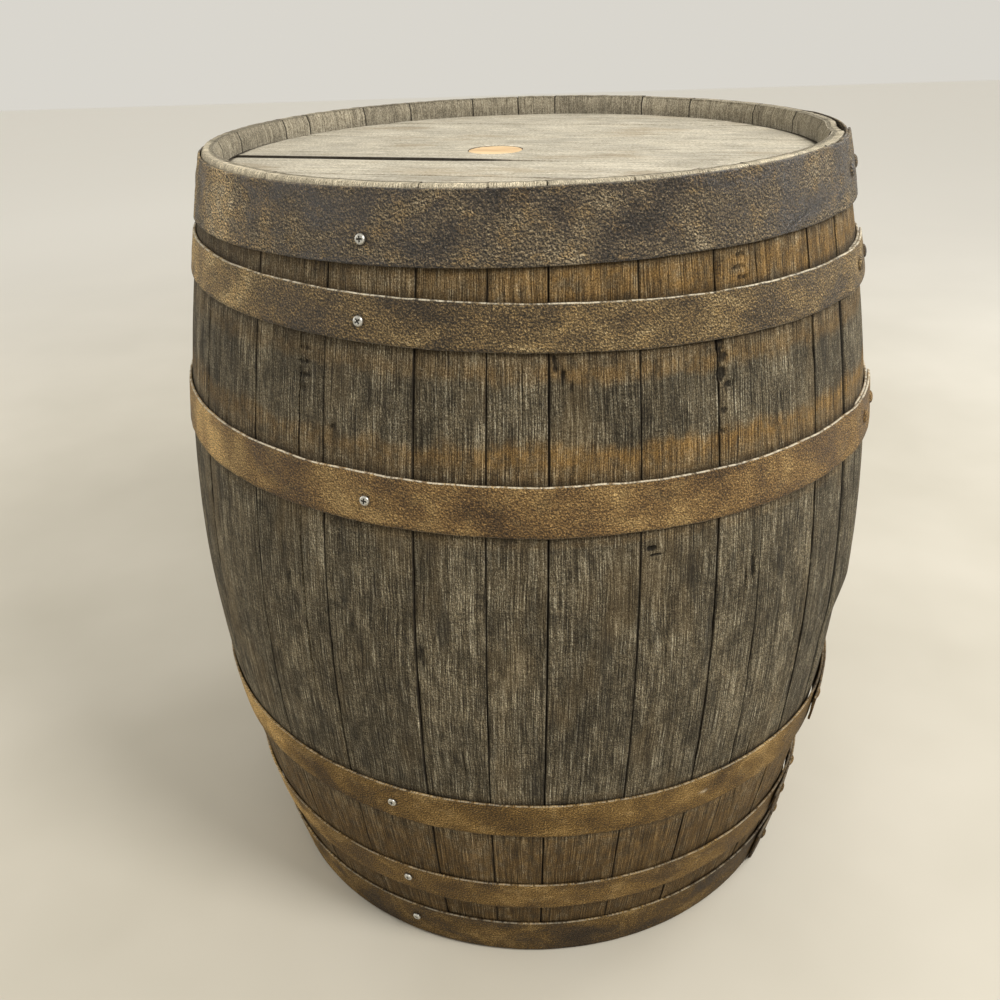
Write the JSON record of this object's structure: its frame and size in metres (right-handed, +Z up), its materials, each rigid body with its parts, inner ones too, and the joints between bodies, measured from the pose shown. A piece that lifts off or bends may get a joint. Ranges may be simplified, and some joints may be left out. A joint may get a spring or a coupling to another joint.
{
  "type": "oak wine barrel",
  "caption": "Squat oak wine cask on end, staves held by riveted rusty steel hoops, jointed plank heads, a flush plug in the top and a bung in the side.",
  "frame": {"origin": "on the cask's axis, in the plane of the bottom chime that it stands on", "axes": "+Z up along the cask's axis, -Y to the front, where the line of hoop screws is a little left of centre, +X to the right, the side of the hoops' riveted laps"},
  "size_m": [0.7428, 0.7429, 0.82],
  "materials": {
    "stave_oak": "weathered grey-brown oak, open grain, rust stained near the hoops",
    "head_oak": "bleached silver-grey oak, open grain",
    "dowel_oak": "clean oak",
    "plug_wood": "new pale wood, sanded",
    "bung_wood": "turned hardwood",
    "hoop_steel": "rusted pitted strip",
    "screw_zinc": "bright zinc plate"
  },
  "bodies": {
    "cask": {"stave_01": "stave_oak", "stave_02": "stave_oak", "stave_03": "stave_oak", "stave_04": "stave_oak", "stave_05": "stave_oak", "stave_06": "stave_oak", "stave_07": "stave_oak", "stave_08": "stave_oak", "stave_09": "stave_oak", "stave_10": "stave_oak", "stave_11": "stave_oak", "stave_12": "stave_oak", "stave_13": "stave_oak", "stave_14": "stave_oak", "stave_15": "stave_oak", "stave_16": "stave_oak", "stave_17": "stave_oak", "bung_stave": "stave_oak", "stave_19": "stave_oak", "stave_20": "stave_oak", "stave_21": "stave_oak", "stave_22": "stave_oak", "stave_23": "stave_oak", "stave_24": "stave_oak", "stave_25": "stave_oak", "stave_26": "stave_oak", "stave_27": "stave_oak", "stave_28": "stave_oak", "top_head_board_1": "head_oak", "top_head_board_2": "head_oak", "top_head_board_3": "head_oak", "top_head_board_4": "head_oak", "top_head_board_5": "head_oak", "bottom_head_board_1": "head_oak", "bottom_head_board_2": "head_oak", "bottom_head_board_3": "head_oak", "bottom_head_board_4": "head_oak", "bottom_head_board_5": "head_oak", "top_head_dowel_1": "dowel_oak", "top_head_dowel_2": "dowel_oak", "top_head_dowel_3": "dowel_oak", "top_head_dowel_4": "dowel_oak", "bottom_head_dowel_1": "dowel_oak", "bottom_head_dowel_2": "dowel_oak", "bottom_head_dowel_3": "dowel_oak", "bottom_head_dowel_4": "dowel_oak", "upper_head_hoop": "hoop_steel", "upper_quarter_hoop": "hoop_steel", "upper_bilge_hoop": "hoop_steel", "lower_bilge_hoop": "hoop_steel", "lower_quarter_hoop": "hoop_steel", "lower_head_hoop": "hoop_steel", "upper_head_hoop_screw": "screw_zinc", "upper_quarter_hoop_screw": "screw_zinc", "upper_bilge_hoop_screw": "screw_zinc", "lower_bilge_hoop_screw": "screw_zinc", "lower_quarter_hoop_screw": "screw_zinc", "lower_head_hoop_screw": "screw_zinc"},
    "head_plug": {"head_bung": "plug_wood"},
    "bilge_plug": {"bilge_bung": "bung_wood"}
  },
  "joints": [
    {"name": "head_bung_pull", "type": "slide", "parent": "cask", "child": "head_plug", "axis": [0, 0, 1], "range_m": [0, 0.06]},
    {"name": "bilge_bung_pull", "type": "slide", "parent": "cask", "child": "bilge_plug", "axis": [0.333, 0.9429, 0], "range_m": [0, 0.08]}
  ]
}
